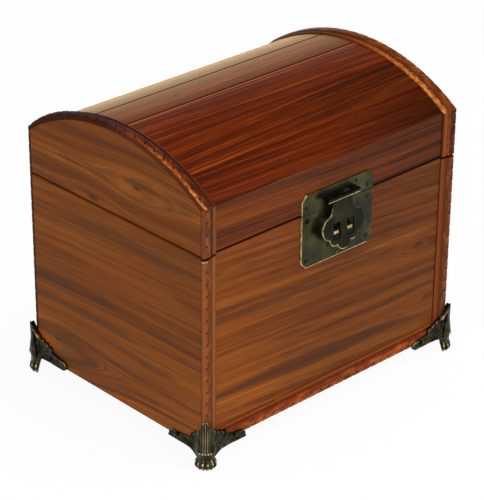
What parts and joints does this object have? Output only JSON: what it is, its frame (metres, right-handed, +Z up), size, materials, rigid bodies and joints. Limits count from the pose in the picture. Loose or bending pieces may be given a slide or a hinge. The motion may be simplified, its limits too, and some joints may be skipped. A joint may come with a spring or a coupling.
{
  "type": "recipe box",
  "caption": "Dome-lidded wooden recipe box with carved corner mouldings, cast corner feet, hinged lid and a front hasp latch.",
  "frame": {"origin": "centre of the bounding box at the floor under the feet", "axes": "+Z up, -Y the front with the latch, +X to the right seen from the front"},
  "size_m": [0.1992, 0.1542, 0.1758],
  "materials": {
    "front_wood": "stained pine, clear varnish",
    "end_wood": "stained pine, clear varnish",
    "roof_wood": "stained pine, glossy varnish",
    "carved_moulding": "embossed strip, varnish",
    "latch_bronze": "dark antique plate, worn edges",
    "staple_brass": "worn antique brass",
    "foot_bronze": "cast, dark antique bronze",
    "hinge_brass": "antique brass"
  },
  "bodies": {
    "box": {"front_panel": "front_wood", "back_panel": "front_wood", "left_end_panel": "end_wood", "right_end_panel": "end_wood", "bottom_panel": "front_wood", "front_left_moulding": "carved_moulding", "front_right_moulding": "carved_moulding", "back_left_moulding": "carved_moulding", "back_right_moulding": "carved_moulding", "front_base_moulding": "carved_moulding", "back_base_moulding": "carved_moulding", "foot_front_left": "foot_bronze", "foot_front_right": "foot_bronze", "foot_back_right": "foot_bronze", "foot_back_left": "foot_bronze", "foot_nails": "foot_bronze", "latch_lower_plate": "latch_bronze", "staple_left": "staple_brass", "staple_right": "staple_brass", "latch_lower_nails": "latch_bronze", "left_hinge_body_leaf": "hinge_brass", "left_hinge_pin": "hinge_brass", "right_hinge_body_leaf": "hinge_brass", "right_hinge_pin": "hinge_brass", "hinge_body_screws": "hinge_brass"},
    "lid": {"lid_front_rail": "front_wood", "lid_back_rail": "front_wood", "lid_left_end": "end_wood", "lid_right_end": "end_wood", "roof_stave_1": "roof_wood", "roof_stave_2": "roof_wood", "roof_stave_3": "roof_wood", "roof_stave_4": "roof_wood", "roof_stave_5": "roof_wood", "roof_stave_6": "roof_wood", "lid_front_left_moulding": "carved_moulding", "lid_front_right_moulding": "carved_moulding", "lid_back_left_moulding": "carved_moulding", "lid_back_right_moulding": "carved_moulding", "lid_left_arch_moulding": "carved_moulding", "lid_right_arch_moulding": "carved_moulding", "latch_upper_plate": "latch_bronze", "hasp_pin": "latch_bronze", "latch_upper_nails": "latch_bronze", "left_hinge_lid_leaf": "hinge_brass", "right_hinge_lid_leaf": "hinge_brass", "hinge_lid_screws": "hinge_brass"},
    "hasp": {"hasp": "latch_bronze"}
  },
  "joints": [
    {"name": "lid_hinge", "type": "hinge", "parent": "box", "child": "lid", "pos_m": [0, 0.07061, 0.12535], "axis": [-1, 0, 0], "range_deg": [0, 110]},
    {"name": "hasp_hinge", "type": "hinge", "parent": "lid", "child": "hasp", "pos_m": [0.0026, -0.07519, 0.1308], "axis": [-1, 0, 0], "range_deg": [-8.5, 170]}
  ]
}
